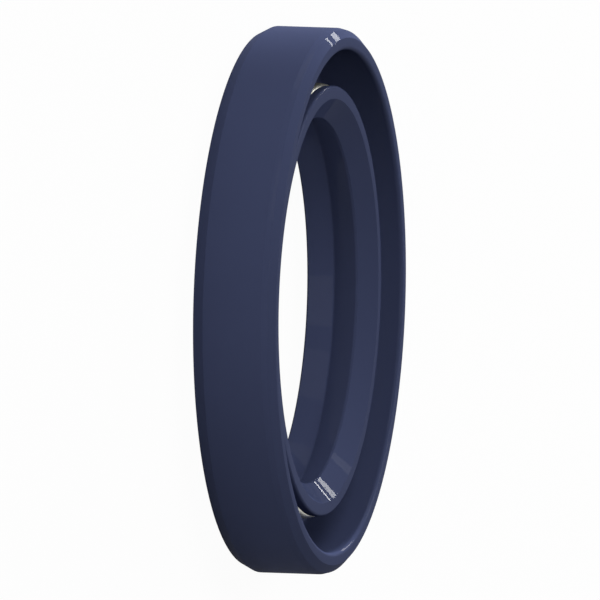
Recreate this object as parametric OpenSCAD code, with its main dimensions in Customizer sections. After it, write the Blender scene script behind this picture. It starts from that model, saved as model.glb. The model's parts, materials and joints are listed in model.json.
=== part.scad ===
// Double lip rotary shaft seal: a rubber body moulded over a pressed steel ring, with a garter spring
// behind the sealing lip. The shaft axis is Z. The air side rests on Z = 0 and the oil side faces up.

/* [Shaft and housing] */
// Diameter of the shaft that the lips run on
shaft_d = 32; // [30:0.5:34]
// Diameter of the housing bore that the seal is pressed into
housing_d = 45; // [44:0.5:53]
// Width of the seal along the shaft
seal_w = 7; // [6.5:0.5:10]

/* [Fits] */
// How much larger than the housing bore the rubber outside is, on the diameter
press_allowance = 0.2; // [0.1:0.05:0.4]
// How much smaller than the shaft the free sealing lip is, on the diameter
lip_squeeze = 1.7; // [1:0.1:2.2]
// How much smaller than the shaft the free dust lip is, on the diameter
dust_squeeze = 0.4; // [0:0.1:0.8]
// Gap between the spring and its groove
spring_clearance = 0.04; // [0.02:0.01:0.1]

/* [Outside] */
// Length of the lead-in taper on the air side
back_taper_len = 0.95; // [0.6:0.05:1.4]
// Depth of the lead-in taper on the air side
back_taper_depth = 0.5; // [0.2:0.05:0.7]
// Length of the shallow taper on the oil side
front_taper_len = 0.52; // [0.3:0.02:1]
// Depth of the shallow taper on the oil side
front_taper_depth = 0.13; // [0.05:0.01:0.4]
// Length of the steeper edge break on the oil side
edge_break_len = 0.58; // [0.3:0.02:0.8]
// Depth of the steeper edge break on the oil side
edge_break_depth = 0.65; // [0.3:0.05:0.75]
// Radius between the shallow taper and the edge break
edge_break_r = 0.3; // [0.1:0.05:0.5]

/* [Rubber cover] */
// Rubber outside the steel ring's sleeve
cover_t = 0.8; // [0.7:0.05:1.1]
// Rubber behind the steel ring's flange
back_cover_t = 0.7; // [0.5:0.05:1]
// Rubber in front of the steel ring's sleeve
front_cover_t = 0.9; // [0.7:0.05:1.4]
// Rubber on the inside faces of the steel ring
lining_t = 0.3; // [0.2:0.05:0.5]
// Radius on the inner edge of the rim
rim_edge_r = 0.34; // [0.2:0.02:0.5]
// Radius between the rim's inner wall and the cavity floor
wall_root_r = 0.55; // [0.3:0.05:0.9]

/* [Steel ring] */
// Sheet thickness of the steel ring
sheet_t = 0.7; // [0.5:0.05:0.9]
// Inside radius of the bend between flange and sleeve
bend_r = 0.3; // [0.1:0.05:0.5]
// Rubber between the flange's inner edge and the mouth of the notch behind the dust lip
flange_cover = 0.4; // [0.2:0.05:0.8]

/* [Sealing lip] */
// Distance from the rim's front face back to the lip's front face
lip_recess = 1.05; // [0.6:0.05:1.6]
// Distance along the shaft from the lip's front face to the sealing edge
lip_depth = 1.45; // [1.2:0.05:1.75]
// Rise of the oil-side cone from the sealing edge to the lip's front face
lip_rise = 1.58; // [1.1:0.02:1.8]
// Width along the shaft of the band that touches the shaft
contact_band = 0.2; // [0.1:0.05:0.3]
// Rubber between the sealing edge and the bottom of the spring groove
lip_section = 1.03; // [0.9:0.01:1.5]
// Reach of the hook in front of the spring, past the spring's centre
hook_reach = 0.68; // [0.5:0.01:0.78]
// Radius on the hook's front edge
hook_edge_r = 0.22; // [0.1:0.02:0.36]

/* [Flex section] */
// Reach of the shoulder behind the spring, past the spring's centre
shoulder_reach = 0.15; // [0:0.05:0.3]
// Radius between the flex section and the cavity floor
flex_root_r = 0.7; // [0.4:0.05:0.9]

/* [Dust lip] */
// Radial gap between the shaft and the bottom of the groove between the lips
grease_gap = 0.6; // [0.4:0.02:0.9]
// Height above the back face of the groove between the lips
valley_z = 2.2; // [1.9:0.05:2.5]
// Radius at the bottom of the groove between the lips
valley_r = 0.2; // [0.1:0.05:0.4]
// Distance that the dust lip's tip stands in from the back face
dust_setback = 0.03; // [0.02:0.01:0.2]
// Thickness of the dust lip's tip, measured across the shaft
dust_tip_t = 0.3; // [0.2:0.02:0.44]
// Slope of the dust lip's tip, measured along the shaft
dust_tip_bevel = 0.18; // [0.06:0.02:0.3]
// Thickness of the dust lip's root, measured across the shaft
dust_root_t = 0.6; // [0.5:0.05:0.8]
// Depth of the notch behind the dust lip
notch_depth = 1.15; // [0.7:0.05:1.4]
// Slope width of the notch, from its root to its mouth
notch_w = 1; // [0.6:0.05:1.3]
// Radius at the root of the notch
notch_root_r = 0.22; // [0.1:0.02:0.3]

/* [Garter spring] */
// Outside diameter of the spring's coil
coil_d = 1.8; // [1.6:0.05:1.9]
// Wire diameter
wire_d = 0.38; // [0.34:0.02:0.46]
// Gap between neighbouring turns on the ring's mean circle
turn_gap = 0.11; // [0.1:0.01:0.2]
// Distance of the spring's plane behind the sealing edge
spring_setback = 0; // [0:0.05:0.3]

/* [Hidden] */

ring_fn = 180;
arc_fn = 48;
// Overlap where an edge's rounding is joined to the outline
corner_overlap = 0.05;
// Growth of a rounding's arc, so that it crosses both sides instead of only touching them
arc_skin = 0.0005;
// Straight steps in one turn of the coil: the half step staggers neighbouring turns
steps_per_turn = 6.5;
wire_sides = 4;

// Outside and rim
outer_r = (housing_d + press_allowance) / 2;
wall_r = outer_r - cover_t - sheet_t - lining_t;
floor_z = back_cover_t + sheet_t + lining_t;

// Sealing lip and spring groove
lip_r = (shaft_d - lip_squeeze) / 2;
face_z = seal_w - lip_recess;
edge_z = face_z - lip_depth;
face_r = lip_r + lip_rise;
groove_r = coil_d / 2 + spring_clearance;
spring_r = lip_r + lip_section + groove_r;
spring_z = edge_z - spring_setback;
hook_r = spring_r + hook_reach;
flex_r = spring_r + shoulder_reach;

// Dust lip and the notch behind it
dust_r = (shaft_d - dust_squeeze) / 2;
dust_tip_z = dust_setback + dust_tip_bevel;
groove_bottom_r = shaft_d / 2 + grease_gap;
dust_slope = (groove_bottom_r - dust_r) / (valley_z - dust_tip_z);
notch_root_x = dust_r + dust_slope * (notch_depth - dust_tip_z) + dust_root_t;
notch_mouth_r = notch_root_x + notch_w;

// Steel ring
sleeve_r = outer_r - cover_t;
flange_r = notch_mouth_r + flange_cover;

// Coil of the spring
coil_mean_r = (coil_d - wire_d) / 2;
turns = floor(2 * PI * spring_r / (wire_d + turn_gap));
steps = round(turns * steps_per_turn);

// Section of the rubber, radius against height, from the back face round the outside to the dust lip
body_outline = [
    [notch_mouth_r, 0],
    [outer_r - back_taper_depth, 0],
    [outer_r, back_taper_len],
    [outer_r, seal_w - edge_break_len - front_taper_len],
    [outer_r - front_taper_depth, seal_w - edge_break_len],
    [outer_r - front_taper_depth - edge_break_depth, seal_w],
    [wall_r, seal_w],
    [wall_r, floor_z],
    [flex_r, floor_z],
    [flex_r, spring_z],
    [hook_r, spring_z],
    [hook_r, face_z],
    [face_r, face_z],
    [lip_r, edge_z + contact_band / 2],
    [lip_r, edge_z - contact_band / 2],
    [groove_bottom_r, valley_z],
    [dust_r, dust_tip_z],
    [dust_r + dust_tip_t, dust_setback],
    [notch_root_x, notch_depth]
];

// Corners of the outline that are rounded off or filled in: [index in the outline, radius]
outer_corners = [[4, edge_break_r], [6, rim_edge_r], [11, hook_edge_r]];
inner_corners = [[7, wall_root_r], [8, flex_root_r], [15, valley_r], [18, notch_root_r]];

function unit(v) = v / norm(v);

// The piece between a corner and the arc that meets both of its sides. Its own corner lies past the
// outline's corner, so that the piece overlaps the outline where they are joined.
module corner_piece(outline, corner) {
    count = len(outline);
    tip = outline[corner[0]];
    radius = corner[1];
    side_a = unit(outline[(corner[0] + count - 1) % count] - tip);
    side_b = unit(outline[(corner[0] + 1) % count] - tip);
    middle = unit(side_a + side_b);
    half_angle = acos(side_a * side_b) / 2;
    reach = radius / tan(half_angle);
    difference() {
        polygon([tip - middle * corner_overlap, tip + side_a * reach, tip + side_b * reach]);
        translate(tip + middle * radius / sin(half_angle))
            circle(r = radius + arc_skin, $fn = arc_fn);
    }
}

// Section of the steel ring: a flange behind the cavity and a sleeve inside the rim
module ring_section() {
    sleeve_in_r = sleeve_r - sheet_t;
    flange_top_z = back_cover_t + sheet_t;
    outline = [
        [flange_r, back_cover_t],
        [sleeve_r, back_cover_t],
        [sleeve_r, seal_w - front_cover_t],
        [sleeve_in_r, seal_w - front_cover_t],
        [sleeve_in_r, flange_top_z],
        [flange_r, flange_top_z]
    ];
    difference() {
        union() {
            polygon(outline);
            corner_piece(outline, [4, bend_r]);
        }
        corner_piece(outline, [1, bend_r + sheet_t]);
    }
}

// Section of the rubber, with the room for the spring and the steel ring taken out
module body_section() {
    difference() {
        union() {
            polygon(body_outline);
            for (corner = inner_corners)
                corner_piece(body_outline, corner);
        }
        for (corner = outer_corners)
            corner_piece(body_outline, corner);
        translate([spring_r, spring_z])
            circle(r = groove_r, $fn = arc_fn);
        ring_section();
    }
}

// One corner of the wire's section, at a step along the coil
function wire_point(step, side) =
    let (
        along = 360 * step / steps,
        around = turns * along,
        spread = 360 * side / wire_sides,
        reach = coil_mean_r + wire_d / 2 * cos(spread),
        shift = wire_d / 2 * sin(spread),
        r = spring_r + reach * cos(around)
    )
    [
        r * cos(along) - shift * sin(along),
        r * sin(along) + shift * cos(along),
        spring_z + reach * sin(around)
    ];

function wire_index(step, side) = (step % steps) * wire_sides + side % wire_sides;

module rubber_body() {
    color([0.2, 0.22, 0.33])
        rotate_extrude($fn = ring_fn)
            body_section();
}

module stiffening_ring() {
    color([0.6, 0.61, 0.63])
        rotate_extrude($fn = ring_fn)
            ring_section();
}

// A wire wound into a coil whose ends meet, so that the coil is a closed ring
module garter_spring() {
    wire_points = [
        for (step = [0:steps - 1], side = [0:wire_sides - 1])
            wire_point(step, side)
    ];
    wire_faces = [
        for (step = [0:steps - 1], side = [0:wire_sides - 1])
            each [
                [wire_index(step, side), wire_index(step + 1, side), wire_index(step, side + 1)],
                [wire_index(step + 1, side), wire_index(step + 1, side + 1), wire_index(step, side + 1)]
            ]
    ];
    color([0.72, 0.7, 0.62])
        polyhedron(points = wire_points, faces = wire_faces, convexity = 10);
}

rubber_body();
stiffening_ring();
garter_spring();
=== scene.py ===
"""Double lip oil seal: the rubber moulding, the garter spring and the steel ring, on a plain pale floor."""
import json
import math

import bmesh
import bpy
from bpy.props import FloatProperty, FloatVectorProperty, IntProperty, PointerProperty
from mathutils import Matrix, Vector


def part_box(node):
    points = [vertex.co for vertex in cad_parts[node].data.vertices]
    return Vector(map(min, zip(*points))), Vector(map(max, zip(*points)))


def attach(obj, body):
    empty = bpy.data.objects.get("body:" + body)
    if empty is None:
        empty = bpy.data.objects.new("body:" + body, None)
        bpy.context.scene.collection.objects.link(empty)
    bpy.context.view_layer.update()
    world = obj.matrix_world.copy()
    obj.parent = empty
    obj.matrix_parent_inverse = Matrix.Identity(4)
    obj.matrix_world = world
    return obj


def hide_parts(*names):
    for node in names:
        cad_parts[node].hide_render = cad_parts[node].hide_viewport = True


bl_info = {
    "name": "Double Lip Oil Seal",
    "version": (1, 0, 0),
    "blender": (4, 5, 0),
    "location": "View3D > Sidebar > Oil Seal",
    "description": "Models the looks of a rubber covered shaft seal with its spring, and sets its stage",
    "category": "Object",
}

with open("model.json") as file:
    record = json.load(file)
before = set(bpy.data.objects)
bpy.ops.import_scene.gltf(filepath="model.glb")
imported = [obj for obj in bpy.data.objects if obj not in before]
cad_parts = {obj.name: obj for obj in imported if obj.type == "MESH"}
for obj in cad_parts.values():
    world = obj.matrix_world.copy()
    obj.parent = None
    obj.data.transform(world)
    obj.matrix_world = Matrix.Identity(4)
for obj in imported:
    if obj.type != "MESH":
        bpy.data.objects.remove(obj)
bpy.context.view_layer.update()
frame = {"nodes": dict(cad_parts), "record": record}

MM = 0.001
FULL_TURN = 2 * math.pi
Z_AXIS = (0, 0, 1)

# Sizes that the solids give
RUBBER_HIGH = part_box("rubber_body")[1]
SPRING_LOW, SPRING_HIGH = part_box("garter_spring")
RING_LOW, RING_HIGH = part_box("stiffening_ring")
MOUNTS = {mount["name"]: mount for mount in frame["record"]["mounts"]}
COIL_D = SPRING_HIGH.z - SPRING_LOW.z

# Lamps that light the seal: place, width and height in metres, and power in watts
LAMPS = {
    "front_lamp": ((0, -0.36, 0.345), 0.25, 0.25, 0.84),
    "top_lamp": ((-0.327, -0.302, 0.226), 0.25, 0.25, 0.68),
    "over_lamp": ((-0.15, 0.3, 0.37), 0.25, 0.25, 1.3),
    "side_lamp": ((-0.45, 0.175, 0.125), 0.25, 0.25, 0.55),
}
# A low lamp that brightens the far edge and isn't mirrored in the rubber
BACK_LAMP = ((-0.28, 0.41, 0.02), 0.12, 0.02, 4)
# Lamps that are only mirrored in what is glossy
GLINTS = {
    "tall_glint": ((-0.2075, 0.44, 0.125), 0.028, 0.17, 0.9),
    "thin_glint": ((-0.2444, 0.4209, 0.1427), 0.009, 0.025, 0.055),
    "low_glint": ((-0.1713, 0.4557, 0.1048), 0.009, 0.025, 0.055),
}

# Share of the turning marks in the height of the rubber's skin
MARK_SHARE = 0.6
# Share of the wire's radius within which the ends of neighbouring turns are joined
JOIN_SHARE = 0.1
# Share of the camera's distance at which its view starts
CLIP_SHARE = 0.01


def mount_size(name, size):
    """A mount's own dimension, in metres."""
    return MOUNTS[name]["dims"][size] * MM


def mount_height(name, end=0):
    """The height of a mount's middle, or of its lower (-1) or upper (+1) end."""
    return MOUNTS[name]["pos_m"][2] + end * mount_size(name, "length_mm") / 2


def length(name, description, default):
    """A property that holds a length in metres."""
    return FloatProperty(
        name=name, description=description, default=default, min=0.0, precision=5, unit="LENGTH"
    )


def colour(name, description, default):
    """A property that holds a linear colour."""
    return FloatVectorProperty(
        name=name, description=description, default=default, min=0.0, max=1.0, subtype="COLOR"
    )


class RubberSizes(bpy.types.PropertyGroup):
    """Section of the rubber moulding: radii are from the shaft axis, heights from the back face."""

    outside_r: length("Outside radius", "Radius of the land that the housing holds", RUBBER_HIGH.x)
    width: length("Width", "Width of the seal along the shaft", RUBBER_HIGH.z)
    land_low: length("Land start", "Height where the land starts", mount_height("housing_fit", -1))
    land_high: length("Land end", "Height where the land ends", mount_height("housing_fit", 1))
    back_taper: length("Back taper", "Depth of the lead-in taper on the air side", 0.5 * MM)
    front_taper: length("Front taper", "Depth of the shallow taper on the oil side", 0.13 * MM)
    break_depth: length("Edge break depth", "Depth of the edge break on the oil side", 0.65 * MM)
    break_length: length("Edge break length", "Length of the edge break on the oil side", 0.58 * MM)
    rim_t: length("Rim thickness", "From the land to the rim's inner wall", 1.8 * MM)
    floor_z: length("Cavity floor", "Height of the cavity's floor", 1.7 * MM)
    lip_r: length("Sealing edge radius", "Radius of the free lip", mount_size("shaft_lip", "r_mm"))
    edge_low: length("Sealing edge start", "Lower side of the shaft's band", mount_height("shaft_lip", -1))
    edge_high: length("Sealing edge end", "Upper side of the shaft's band", mount_height("shaft_lip", 1))
    lip_recess: length("Lip recess", "From the rim's face back to the lip's face", 1.05 * MM)
    lip_rise: length("Lip rise", "Radial rise of the oil side cone", 1.58 * MM)
    groove_gap: length("Groove clearance", "Gap between the spring and its groove", 0.04 * MM)
    hook_reach: length("Hook reach", "Reach of the hook past the spring's circle", 0.68 * MM)
    shoulder_reach: length("Shoulder reach", "Reach of the shoulder past the spring's circle", 0.15 * MM)
    valley_r: length("Valley radius", "Radius of the valley between the two lips", 16.6 * MM)
    valley_z: length("Valley height", "Height of the valley between the two lips", 2.2 * MM)
    dust_r: length("Dust lip radius", "Radius of the free dust lip", 15.8 * MM)
    dust_setback: length("Dust lip setback", "From the back face to the dust lip's tip", 0.03 * MM)
    dust_bevel: length("Dust tip slope", "Slope of the dust lip's tip along the shaft", 0.18 * MM)
    dust_tip: length("Dust tip thickness", "Thickness of the dust lip's tip", 0.3 * MM)
    notch_root: length("Notch root radius", "Radius of the bottom of the notch", 16.778 * MM)
    notch_depth: length("Notch depth", "Depth of the notch behind the dust lip", 1.15 * MM)
    notch_mouth: length("Notch mouth radius", "Radius where the notch meets the back face", 17.778 * MM)
    break_round: length("Edge break rounding", "Rounding between taper and edge break", 0.12 * MM)
    rim_round: length("Rim rounding", "Rounding of the rim's inner edge", 0.34 * MM)
    wall_round: length("Wall root rounding", "Rounding between rim and cavity floor", 0.55 * MM)
    flex_round: length("Flex root rounding", "Rounding between flex section and cavity floor", 0.7 * MM)
    hook_round: length("Hook rounding", "Rounding of the hook's front edge", 0.22 * MM)
    valley_round: length("Valley rounding", "Rounding of the valley between the lips", 0.2 * MM)
    notch_round: length("Notch rounding", "Rounding of the notch's bottom", 0.22 * MM)
    mould_round: length("Mould edge", "Small radius that the mould leaves on the outer edges", 0.04 * MM)
    trim_round: length("Trimmed edge", "Very small radius of the lips' trimmed edges", 0.03 * MM)


class RingSizes(bpy.types.PropertyGroup):
    """Section of the steel ring, whose room the rubber leaves free."""

    sheet_t: length("Sheet thickness", "Thickness of the pressed sheet", 0.7 * MM)
    hole_r: length("Flange hole radius", "Radius of the hole in the flange", 18.178 * MM)
    bend_r: length("Bend radius", "Inside radius of the bend", 0.3 * MM)


class SpringSizes(bpy.types.PropertyGroup):
    """Winding of the garter spring."""

    coil_d: length("Coil diameter", "Outside diameter of the coil", COIL_D)
    ring_r: length("Ring radius", "Radius of the circle that the coil lies on", SPRING_HIGH.x - COIL_D / 2)
    height: length("Height", "Height of the spring's plane", (SPRING_LOW.z + SPRING_HIGH.z) / 2)
    wire_d: length("Wire diameter", "Diameter of the spring's wire", 0.38 * MM)
    turn_gap: length("Turn gap", "Gap between neighbouring turns", 0.11 * MM)


class SealFinish(bpy.types.PropertyGroup):
    """Colours of the seal's three materials."""

    rubber_colour: colour("Rubber", "Colour of the nitrile rubber", (0.048, 0.0595, 0.123))
    rubber_pale: colour("Pale rubber", "Colour of the paler patches in the rubber", (0.051, 0.063, 0.13))
    wire_colour: colour("Wire", "Colour of the drawn spring wire", (0.7, 0.69, 0.62))
    wire_dull: colour("Dull wire", "Colour of the wire under its film of oil", (0.5, 0.49, 0.42))
    steel_colour: colour("Steel", "Colour of the pressed sheet", (0.5, 0.51, 0.53))
    steel_dull: colour("Dull steel", "Colour of the sheet under its bonding coat", (0.32, 0.31, 0.29))


class SealDetail(bpy.types.PropertyGroup):
    """How finely the round shapes are divided."""

    ring_steps: IntProperty(name="Ring steps", description="Steps in one turn of the rubber", default=288)
    groove_steps: IntProperty(name="Groove steps", description="Steps in the groove's arc", default=20)
    coil_steps: IntProperty(name="Coil steps", description="Steps in one turn of the coil", default=16)
    wire_sides: IntProperty(name="Wire sides", description="Sides of the wire's section", default=8)
    arc_step: FloatProperty(
        name="Arc step", description="Turn of one step in a rounded edge",
        default=math.radians(15), subtype="ANGLE",
    )


class StageSettings(bpy.types.PropertyGroup):
    """Camera, floor and sky."""

    view_tilt: FloatProperty(
        name="View tilt", description="Height of the view above the seal's plane",
        default=math.radians(14.159), subtype="ANGLE",
    )
    view_lean: FloatProperty(
        name="View lean", description="Lean of the shaft axis below the picture's level",
        default=math.radians(1.874), subtype="ANGLE",
    )
    picture_px: FloatProperty(name="Picture", description="Side of the picture in pixels", default=600)
    origin_px: FloatVectorProperty(
        name="Origin", description="Pixel that the back face's centre lands on",
        default=(258.81, 298.79), size=2,
    )
    px_per_m: FloatProperty(name="Scale", description="Pixels to a metre", default=12100)
    camera_far: length("Camera distance", "Distance of the camera from the seal", 0.3)
    floor_size: length("Floor size", "Half the floor's side", 0.8)
    floor_drop: length("Floor drop", "How far the floor lies under the back face", 0.01 * MM)
    floor_colour: colour("Floor", "Colour of the floor", (0.8, 0.8, 0.8))
    floor_white: FloatProperty(
        name="Floor white", description="Share of plain white in the floor that is seen",
        default=0.96, subtype="FACTOR",
    )
    sky_strength: FloatProperty(name="Sky", description="Strength of the even light", default=0.02)


class OilSeal(bpy.types.PropertyGroup):
    """Everything that can be set on the seal and its stage."""

    rubber: PointerProperty(type=RubberSizes)
    ring: PointerProperty(type=RingSizes)
    spring: PointerProperty(type=SpringSizes)
    finish: PointerProperty(type=SealFinish)
    detail: PointerProperty(type=SealDetail)
    stage: PointerProperty(type=StageSettings)


# Shapes

def rubber_corners(rubber, spring):
    """Corners of the rubber's section as (radius, height, rounding), from hook's tip to shoulder."""
    hook_r = spring.ring_r + rubber.hook_reach
    flex_r = spring.ring_r + rubber.shoulder_reach
    groove_r = groove_radius(rubber, spring)
    hook_tip_z = spring.height + math.sqrt(groove_r**2 - rubber.hook_reach**2)
    shoulder_z = spring.height - math.sqrt(groove_r**2 - rubber.shoulder_reach**2)
    face_z = rubber.width - rubber.lip_recess
    wall_r = rubber.outside_r - rubber.rim_t
    taper_r = rubber.outside_r - rubber.front_taper
    return [
        (hook_r, hook_tip_z, rubber.trim_round),
        (hook_r, face_z, rubber.hook_round),
        (rubber.lip_r + rubber.lip_rise, face_z, rubber.mould_round),
        (rubber.lip_r, rubber.edge_high, rubber.trim_round),
        (rubber.lip_r, rubber.edge_low, rubber.trim_round),
        (rubber.valley_r, rubber.valley_z, rubber.valley_round),
        (rubber.dust_r, rubber.dust_setback + rubber.dust_bevel, rubber.trim_round),
        (rubber.dust_r + rubber.dust_tip, rubber.dust_setback, rubber.trim_round),
        (rubber.notch_root, rubber.notch_depth, rubber.notch_round),
        (rubber.notch_mouth, 0, rubber.mould_round),
        (rubber.outside_r - rubber.back_taper, 0, rubber.mould_round),
        (rubber.outside_r, rubber.land_low, rubber.mould_round),
        (rubber.outside_r, rubber.land_high, rubber.mould_round),
        (taper_r, rubber.width - rubber.break_length, rubber.break_round),
        (taper_r - rubber.break_depth, rubber.width, rubber.mould_round),
        (wall_r, rubber.width, rubber.rim_round),
        (wall_r, rubber.floor_z, rubber.wall_round),
        (flex_r, rubber.floor_z, rubber.flex_round),
        (flex_r, shoulder_z, rubber.trim_round),
    ]


def ring_corners(ring):
    """Corners of the steel ring's section, from the flange's hole out to the sleeve and back."""
    inner_r = RING_HIGH.x - ring.sheet_t
    flange_top_z = RING_LOW.z + ring.sheet_t
    return [
        (ring.hole_r, RING_LOW.z, 0),
        (RING_HIGH.x, RING_LOW.z, ring.bend_r + ring.sheet_t),
        (RING_HIGH.x, RING_HIGH.z, 0),
        (inner_r, RING_HIGH.z, 0),
        (inner_r, flange_top_z, ring.bend_r),
        (ring.hole_r, flange_top_z, 0),
    ]


def groove_radius(rubber, spring):
    """Radius of the groove that the spring lies in."""
    return spring.coil_d / 2 + rubber.groove_gap


def draw_section(bm, corners):
    """Draws the corners of a section in the XZ plane and joins them in order. Returns their vertices."""
    verts = [bm.verts.new((radius, 0, height)) for radius, height, _ in corners]
    for start, end in zip(verts, verts[1:]):
        bm.edges.new((start, end))
    return verts


def close_with_groove(bm, verts, rubber, spring, steps):
    """Turns the shoulder's corner about the spring up to the hook's tip, which closes the section."""
    centre = Vector((spring.ring_r, 0, spring.height))
    start = verts[-1].co - centre
    end = verts[0].co - centre
    sweep = (math.atan2(start.z, start.x) - math.atan2(end.z, end.x)) % FULL_TURN
    arc = bmesh.ops.spin(bm, geom=[verts[-1]], cent=centre, axis=(0, 1, 0), angle=sweep, steps=steps)
    tip = next(item for item in arc["geom_last"] if isinstance(item, bmesh.types.BMVert))
    bmesh.ops.weld_verts(bm, targetmap={tip: verts[0]})


def round_corners(bm, verts, corners, arc_step):
    """Rounds each corner of a closed section by its own radius. A face holds it while it is bevelled."""
    bmesh.ops.contextual_create(bm, geom=bm.edges[:])
    for vert, (_, _, rounding) in zip(verts, corners):
        if rounding:
            turn = vert.calc_edge_angle()
            bmesh.ops.bevel(
                bm, geom=[vert], offset=rounding * math.tan(turn / 2), offset_type="ABSOLUTE",
                affect="VERTICES", segments=math.ceil(turn / arc_step) + 1, profile=0.5, material=-1,
            )
    bmesh.ops.delete(bm, geom=bm.faces[:], context="FACES_ONLY")


def turn_section(bm, steps):
    """Turns a section once round the shaft axis and points its faces outwards."""
    bmesh.ops.spin(
        bm, geom=bm.verts[:] + bm.edges[:], cent=(0, 0, 0), axis=Z_AXIS, angle=FULL_TURN, steps=steps,
        use_merge=True,
    )
    bmesh.ops.recalc_face_normals(bm, faces=bm.faces[:])


def mould_rubber(seal):
    """The rubber moulding's mesh, with the closed room for the steel ring inside it."""
    rubber, spring, detail = seal.rubber, seal.spring, seal.detail
    mesh = bpy.data.meshes.new("rubber_moulding")
    room = bmesh.new()
    corners = ring_corners(seal.ring)
    verts = draw_section(room, corners)
    room.edges.new((verts[-1], verts[0]))
    round_corners(room, verts, corners, detail.arc_step)
    turn_section(room, detail.ring_steps)
    bmesh.ops.reverse_faces(room, faces=room.faces[:])
    room.to_mesh(mesh)
    room.free()
    bm = bmesh.new()
    corners = rubber_corners(rubber, spring)
    verts = draw_section(bm, corners)
    close_with_groove(bm, verts, rubber, spring, detail.groove_steps)
    round_corners(bm, verts, corners, detail.arc_step)
    turn_section(bm, detail.ring_steps)
    bm.from_mesh(mesh)
    bm.to_mesh(mesh)
    bm.free()
    return mesh


def wind_spring(seal):
    """The garter spring's mesh: one turn of wire is wound, bent to the ring and repeated all round."""
    spring, detail = seal.spring, seal.detail
    wire_r = spring.wire_d / 2
    turns = math.floor(FULL_TURN * spring.ring_r / (spring.wire_d + spring.turn_gap))
    share = FULL_TURN / turns
    pitch = share * spring.ring_r
    bm = bmesh.new()
    start = Matrix.Translation((spring.coil_d / 2 - wire_r, 0, 0))
    bmesh.ops.create_circle(bm, segments=detail.wire_sides, radius=wire_r, matrix=start)
    bmesh.ops.spin(
        bm, geom=bm.verts[:] + bm.edges[:], cent=(0, 0, 0), axis=(0, -1, 0),
        dvec=(0, pitch / detail.coil_steps, 0), angle=FULL_TURN, steps=detail.coil_steps,
    )
    for vert in bm.verts:
        along = vert.co.y / spring.ring_r
        radius = spring.ring_r + vert.co.x
        vert.co = (radius * math.cos(along), radius * math.sin(along), spring.height + vert.co.z)
    bmesh.ops.spin(
        bm, geom=bm.verts[:] + bm.edges[:] + bm.faces[:], cent=(0, 0, 0), axis=Z_AXIS,
        angle=FULL_TURN - share, steps=turns - 1, use_duplicate=True,
    )
    bmesh.ops.remove_doubles(bm, verts=bm.verts[:], dist=wire_r * JOIN_SHARE)
    bmesh.ops.recalc_face_normals(bm, faces=bm.faces[:])
    mesh = bpy.data.meshes.new("garter_wire")
    bm.to_mesh(mesh)
    bm.free()
    return mesh


def add_piece(name, mesh, material, node):
    """Puts a finished mesh into the scene as a smooth piece that stands for a solid."""
    mesh.materials.append(material)
    mesh.shade_smooth()
    piece = bpy.data.objects.new(name, mesh)
    bpy.context.scene.collection.objects.link(piece)
    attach(piece, "root")
    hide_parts(node)
    return piece


# Materials

def new_group(name, inputs, outputs):
    """An empty shader node group. Returns it with its input and output nodes."""
    group = bpy.data.node_groups.new(name, "ShaderNodeTree")
    for socket_name, kind in inputs:
        group.interface.new_socket(socket_name, in_out="INPUT", socket_type=kind)
    for socket_name, kind in outputs:
        group.interface.new_socket(socket_name, in_out="OUTPUT", socket_type=kind)
    return group, group.nodes.new("NodeGroupInput"), group.nodes.new("NodeGroupOutput")


def add_math(tree, operation, first, second=0):
    """A math node on one or two values, each a socket or a number. Returns its output."""
    node = tree.nodes.new("ShaderNodeMath")
    node.operation = operation
    for socket, value in zip(node.inputs, (first, second)):
        if isinstance(value, bpy.types.NodeSocket):
            tree.links.new(value, socket)
        else:
            socket.default_value = value
    return node.outputs["Value"]


def add_noise(tree, vector, detail, dimensions="3D"):
    """A noise texture at unit scale on a vector. Returns its value."""
    noise = tree.nodes.new("ShaderNodeTexNoise")
    noise.noise_dimensions = dimensions
    noise.inputs["Scale"].default_value = 1
    noise.inputs["Detail"].default_value = detail
    tree.links.new(vector, noise.inputs["Vector"])
    return noise.outputs["Fac"]


def divide_vector(tree, vector, size):
    """A vector measured in steps of a size."""
    node = tree.nodes.new("ShaderNodeVectorMath")
    node.operation = "SCALE"
    tree.links.new(vector, node.inputs[0])
    tree.links.new(add_math(tree, "DIVIDE", 1, size), node.inputs["Scale"])
    return node.outputs["Vector"]


def grain_group():
    """Fine moulded or drawn grain, and a broad unevenness of tone many grains wide."""
    if "Surface grain" in bpy.data.node_groups:
        return bpy.data.node_groups["Surface grain"]
    group, given, result = new_group(
        "Surface grain",
        [
            ("Vector", "NodeSocketVector"),
            ("Grain Size", "NodeSocketFloat"),
            ("Patch Size", "NodeSocketFloat"),
        ],
        [("Height", "NodeSocketFloat"), ("Tone", "NodeSocketFloat")],
    )
    fine = divide_vector(group, given.outputs["Vector"], given.outputs["Grain Size"])
    broad = divide_vector(group, given.outputs["Vector"], given.outputs["Patch Size"])
    group.links.new(add_noise(group, fine, detail=2), result.inputs["Height"])
    group.links.new(add_noise(group, broad, detail=3), result.inputs["Tone"])
    return group


def turning_group():
    """Marks that run round the shaft axis, as a turned mould or a spun sheet has them."""
    if "Turning marks" in bpy.data.node_groups:
        return bpy.data.node_groups["Turning marks"]
    group, given, result = new_group(
        "Turning marks",
        [("Vector", "NodeSocketVector"), ("Pitch", "NodeSocketFloat")],
        [("Height", "NodeSocketFloat")],
    )
    parts = group.nodes.new("ShaderNodeSeparateXYZ")
    group.links.new(given.outputs["Vector"], parts.inputs["Vector"])
    across = add_math(group, "POWER", parts.outputs["X"], 2)
    along = add_math(group, "POWER", parts.outputs["Y"], 2)
    radius = add_math(group, "SQRT", add_math(group, "ADD", across, along))
    section = group.nodes.new("ShaderNodeCombineXYZ")
    group.links.new(radius, section.inputs["X"])
    group.links.new(parts.outputs["Z"], section.inputs["Y"])
    marks = divide_vector(group, section.outputs["Vector"], given.outputs["Pitch"])
    group.links.new(add_noise(group, marks, detail=2, dimensions="2D"), result.inputs["Height"])
    return group


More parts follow.
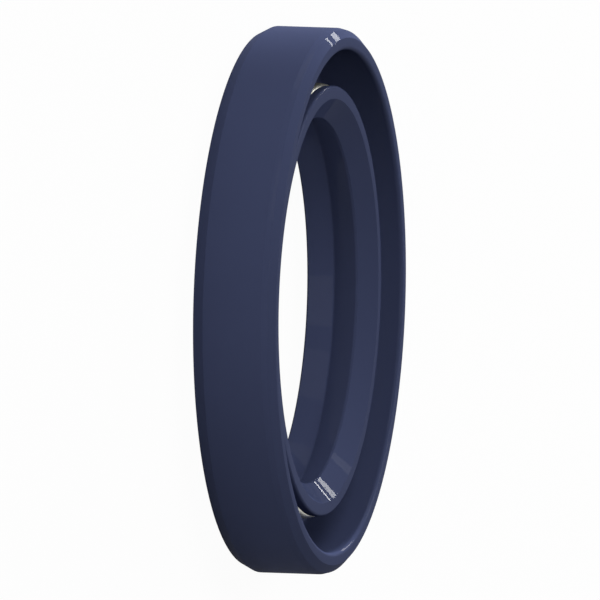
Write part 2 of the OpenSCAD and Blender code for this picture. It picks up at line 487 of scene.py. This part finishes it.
def new_material(name):
    """A material with only a Principled shader. Returns it with its tree, shader and Object coordinates."""
    material = bpy.data.materials.new(name)
    material.use_nodes = True
    tree = material.node_tree
    tree.nodes.clear()
    shader = tree.nodes.new("ShaderNodeBsdfPrincipled")
    output = tree.nodes.new("ShaderNodeOutputMaterial")
    tree.links.new(shader.outputs["BSDF"], output.inputs["Surface"])
    place = tree.nodes.new("ShaderNodeTexCoord").outputs["Object"]
    return material, tree, shader, place


def add_group(tree, group, place, **sizes):
    """A node group set on a place, with its sizes in metres. Returns its outputs."""
    node = tree.nodes.new("ShaderNodeGroup")
    node.node_tree = group
    tree.links.new(place, node.inputs["Vector"])
    for name, value in sizes.items():
        node.inputs[name.replace("_", " ").title()].default_value = value
    return node.outputs


def vary_colour(tree, shader, tone, dark, pale):
    """Runs the shader's colour from dark to pale with a tone."""
    mix = tree.nodes.new("ShaderNodeMix")
    mix.data_type = "RGBA"
    mix.inputs["A"].default_value = (*dark, 1)
    mix.inputs["B"].default_value = (*pale, 1)
    tree.links.new(tone, mix.inputs["Factor"])
    tree.links.new(mix.outputs["Result"], shader.inputs["Base Color"])


def vary_roughness(tree, shader, tone, low, high):
    """Runs the shader's roughness from low to high with a tone."""
    spread = tree.nodes.new("ShaderNodeMapRange")
    spread.inputs["To Min"].default_value = low
    spread.inputs["To Max"].default_value = high
    tree.links.new(tone, spread.inputs["Value"])
    tree.links.new(spread.outputs["Result"], shader.inputs["Roughness"])


def raise_surface(tree, shader, height, depth):
    """Gives the shader a bump of a depth in metres."""
    bump = tree.nodes.new("ShaderNodeBump")
    bump.inputs["Distance"].default_value = depth
    tree.links.new(height, bump.inputs["Height"])
    tree.links.new(bump.outputs["Normal"], shader.inputs["Normal"])


def rubber_material(finish):
    """Satin navy rubber, with the moulded skin's fine grain and the mould's turning marks."""
    material, tree, shader, place = new_material("seal_rubber")
    grain = add_group(tree, grain_group(), place, grain_size=0.12 * MM, patch_size=4 * MM)
    marks = add_group(tree, turning_group(), place, pitch=0.16 * MM)
    vary_colour(tree, shader, grain["Tone"], finish.rubber_colour, finish.rubber_pale)
    vary_roughness(tree, shader, grain["Tone"], low=0.4, high=0.5)
    mark_height = add_math(tree, "MULTIPLY", marks["Height"], MARK_SHARE)
    raise_surface(tree, shader, add_math(tree, "ADD", grain["Height"], mark_height), depth=0.0005 * MM)
    shader.inputs["Specular IOR Level"].default_value = 0
    shader.inputs["Coat Weight"].default_value = 0.03
    shader.inputs["Coat Roughness"].default_value = 0.02
    return material


def wire_material(finish):
    """Bright drawn spring wire under a thin film of oil."""
    material, tree, shader, place = new_material("spring_wire")
    grain = add_group(tree, grain_group(), place, grain_size=0.05 * MM, patch_size=1.5 * MM)
    vary_colour(tree, shader, grain["Tone"], finish.wire_dull, finish.wire_colour)
    vary_roughness(tree, shader, grain["Height"], low=0.28, high=0.42)
    raise_surface(tree, shader, grain["Height"], depth=0.001 * MM)
    shader.inputs["Metallic"].default_value = 1
    return material


def steel_material(finish):
    """Pressed steel sheet with drawing marks round its sleeve and a patchy bonding coat."""
    material, tree, shader, place = new_material("ring_steel")
    grain = add_group(tree, grain_group(), place, grain_size=0.1 * MM, patch_size=3 * MM)
    marks = add_group(tree, turning_group(), place, pitch=0.1 * MM)
    vary_colour(tree, shader, grain["Tone"], finish.steel_dull, finish.steel_colour)
    vary_roughness(tree, shader, marks["Height"], low=0.3, high=0.5)
    raise_surface(tree, shader, add_math(tree, "ADD", grain["Height"], marks["Height"]), depth=0.002 * MM)
    shader.inputs["Metallic"].default_value = 1
    return material


# Stage

def seen_rays(tree):
    """1 for the rays that show the stage, directly, in gloss or through glass, and 0 for light."""
    rays = tree.nodes.new("ShaderNodeLightPath").outputs
    seen = add_math(tree, "ADD", rays["Is Camera Ray"], rays["Is Glossy Ray"])
    return add_math(tree, "MINIMUM", add_math(tree, "ADD", seen, rays["Is Transmission Ray"]), 1)


def floor_material(stage):
    """A pale floor that looks white and still shows a soft shadow."""
    material = bpy.data.materials.new("pale_floor")
    material.use_nodes = True
    tree = material.node_tree
    tree.nodes.clear()
    paint = tree.nodes.new("ShaderNodeBsdfDiffuse")
    paint.inputs["Color"].default_value = (*stage.floor_colour, 1)
    white = tree.nodes.new("ShaderNodeEmission")
    mix = tree.nodes.new("ShaderNodeMixShader")
    output = tree.nodes.new("ShaderNodeOutputMaterial")
    tree.links.new(add_math(tree, "MULTIPLY", seen_rays(tree), stage.floor_white), mix.inputs["Fac"])
    tree.links.new(paint.outputs["BSDF"], mix.inputs[1])
    tree.links.new(white.outputs["Emission"], mix.inputs[2])
    tree.links.new(mix.outputs["Shader"], output.inputs["Surface"])
    return material


def lay_floor(stage):
    """The floor that the seal lies on."""
    bm = bmesh.new()
    place = Matrix.Translation((0, 0, -stage.floor_drop))
    bmesh.ops.create_grid(bm, x_segments=1, y_segments=1, size=stage.floor_size, matrix=place)
    mesh = bpy.data.meshes.new("floor")
    bm.to_mesh(mesh)
    bm.free()
    mesh.materials.append(floor_material(stage))
    floor = bpy.data.objects.new("floor", mesh)
    bpy.context.scene.collection.objects.link(floor)


def set_sky(stage):
    """Even light all round, which looks white where it is seen."""
    world = bpy.data.worlds.new("studio")
    bpy.context.scene.world = world
    world.use_nodes = True
    tree = world.node_tree
    sky = tree.nodes["Background"]
    sky.inputs["Color"].default_value = (1, 1, 1, 1)
    tree.links.new(add_math(tree, "MAXIMUM", seen_rays(tree), stage.sky_strength), sky.inputs["Strength"])


def hang_lamp(name, place, width, height, power):
    """An upright lamp that hangs at a place and faces the seal."""
    light = bpy.data.lights.new(name, "AREA")
    light.shape = "RECTANGLE"
    light.size = width
    light.size_y = height
    light.energy = power
    lamp = bpy.data.objects.new(name, light)
    lamp.location = place
    lamp.rotation_mode = "QUATERNION"
    lamp.rotation_quaternion = lamp.location.to_track_quat("Z", "Y")
    bpy.context.scene.collection.objects.link(lamp)
    return lamp


def place_camera(stage):
    """A camera without perspective, laid over so that the shaft axis runs across the picture."""
    tilt, lean = stage.view_tilt, stage.view_lean
    away = Vector((0, -math.cos(tilt), math.sin(tilt)))
    axis_seen = Vector((0, math.sin(tilt), math.cos(tilt)))
    down_seen = Vector((1, 0, 0))
    right = axis_seen * math.cos(lean) - down_seen * math.sin(lean)
    up = -axis_seen * math.sin(lean) - down_seen * math.cos(lean)
    middle = stage.picture_px / 2
    across = (middle - stage.origin_px[0]) / stage.px_per_m
    down = (middle - stage.origin_px[1]) / stage.px_per_m
    place = right * across - up * down + away * stage.camera_far
    data = bpy.data.cameras.new("camera")
    data.type = "ORTHO"
    data.ortho_scale = stage.picture_px / stage.px_per_m
    data.clip_start = stage.camera_far * CLIP_SHARE
    camera = bpy.data.objects.new("camera", data)
    camera.matrix_world = Matrix.Translation(place) @ Matrix((right, up, away)).transposed().to_4x4()
    bpy.context.scene.collection.objects.link(camera)
    bpy.context.scene.camera = camera


# Operators

class OILSEAL_OT_mould_rubber(bpy.types.Operator):
    """Turn the rubber moulding from its section and give it its satin skin"""

    bl_idname = "oilseal.mould_rubber"
    bl_label = "Mould Rubber"

    def execute(self, context):
        seal = context.scene.oil_seal
        material = rubber_material(seal.finish)
        piece = add_piece("rubber_moulding", mould_rubber(seal), material, "rubber_body")
        flatten = piece.modifiers.new("Flat faces", "WEIGHTED_NORMAL")
        flatten.mode = "FACE_AREA_WITH_ANGLE"
        return {"FINISHED"}


class OILSEAL_OT_wind_spring(bpy.types.Operator):
    """Wind the garter spring from round wire"""

    bl_idname = "oilseal.wind_spring"
    bl_label = "Wind Spring"

    def execute(self, context):
        seal = context.scene.oil_seal
        material = wire_material(seal.finish)
        add_piece("garter_wire", wind_spring(seal), material, "garter_spring")
        return {"FINISHED"}


class OILSEAL_OT_finish_ring(bpy.types.Operator):
    """Give the steel ring inside the rubber its finish"""

    bl_idname = "oilseal.finish_ring"
    bl_label = "Finish Ring"

    def execute(self, context):
        materials = frame["nodes"]["stiffening_ring"].data.materials
        materials.clear()
        materials.append(steel_material(context.scene.oil_seal.finish))
        return {"FINISHED"}


class OILSEAL_OT_set_stage(bpy.types.Operator):
    """Lay the floor, hang the lamps and place the camera"""

    bl_idname = "oilseal.set_stage"
    bl_label = "Set Stage"

    def execute(self, context):
        stage = context.scene.oil_seal.stage
        context.scene.view_settings.view_transform = "Standard"
        lay_floor(stage)
        set_sky(stage)
        for name, lamp in LAMPS.items():
            hang_lamp(name, *lamp)
        hang_lamp("back_lamp", *BACK_LAMP).visible_glossy = False
        for name, lamp in GLINTS.items():
            hang_lamp(name, *lamp).visible_diffuse = False
        place_camera(stage)
        return {"FINISHED"}


class OILSEAL_PT_panel(bpy.types.Panel):
    """Lists the seal's pieces and its stage in the sidebar"""

    bl_label = "Oil Seal"
    bl_idname = "OILSEAL_PT_panel"
    bl_space_type = "VIEW_3D"
    bl_region_type = "UI"
    bl_category = "Oil Seal"

    def draw(self, context):
        for step in STEPS:
            self.layout.operator(step.bl_idname)


STEPS = (OILSEAL_OT_mould_rubber, OILSEAL_OT_wind_spring, OILSEAL_OT_finish_ring, OILSEAL_OT_set_stage)
CLASSES = (
    RubberSizes, RingSizes, SpringSizes, SealFinish, SealDetail, StageSettings, OilSeal,
    *STEPS, OILSEAL_PT_panel,
)


def register():
    for cls in CLASSES:
        bpy.utils.register_class(cls)
    bpy.types.Scene.oil_seal = PointerProperty(type=OilSeal)


def unregister():
    del bpy.types.Scene.oil_seal
    for cls in reversed(CLASSES):
        bpy.utils.unregister_class(cls)


def main():
    register()
    bpy.ops.oilseal.mould_rubber()
    bpy.ops.oilseal.wind_spring()
    bpy.ops.oilseal.finish_ring()
    bpy.ops.oilseal.set_stage()


if __name__ == "__main__":
    main()
